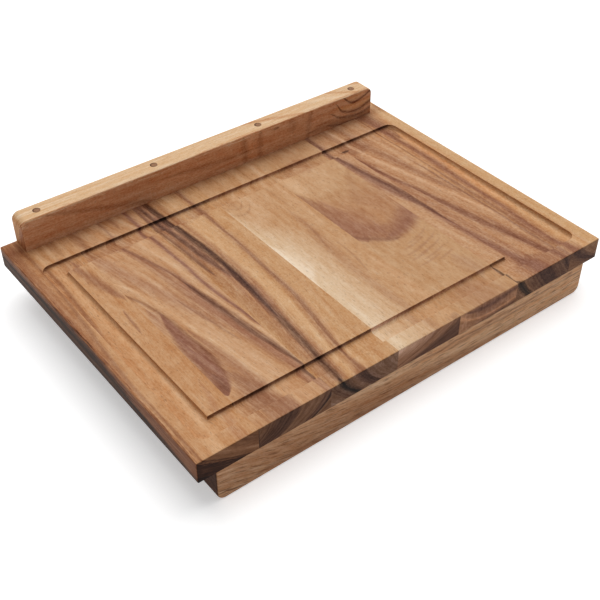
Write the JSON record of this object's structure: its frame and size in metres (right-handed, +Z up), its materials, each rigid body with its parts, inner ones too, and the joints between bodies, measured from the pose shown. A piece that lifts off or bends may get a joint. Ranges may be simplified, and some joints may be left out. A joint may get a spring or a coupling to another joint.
{
  "type": "cutting board",
  "caption": "Counter-edge cutting board of edge-glued hardwood staves, with a routed juice groove and side trough, a backstop rail and a front lip that hooks over the counter.",
  "frame": {"origin": "middle of the inside corner that hooks over a counter's front edge: on the panel's underside, at the lip's rear face, halfway along the width", "axes": "+X to the user's right, along the rail and the lip; +Y away from the user, along the grain of the staves; +Z up from the counter top"},
  "size_m": [0.6, 0.44, 0.116],
  "materials": {
    "acacia_staves": "sanded and oiled",
    "acacia_bars": "sanded and oiled",
    "dowel_plugs": "sanded and oiled end grain"
  },
  "bodies": {
    "root": {"stave_1": "acacia_staves", "stave_2": "acacia_staves", "stave_3": "acacia_staves", "stave_4": "acacia_staves", "stave_5": "acacia_staves", "stave_6": "acacia_staves", "stave_7": "acacia_staves", "back_rail": "acacia_bars", "front_lip": "acacia_bars", "rail_plug_1": "dowel_plugs", "rail_plug_2": "dowel_plugs", "rail_plug_3": "dowel_plugs", "rail_plug_4": "dowel_plugs", "lip_plug_1": "dowel_plugs", "lip_plug_2": "dowel_plugs", "lip_plug_3": "dowel_plugs", "lip_plug_4": "dowel_plugs"}
  },
  "joints": []
}
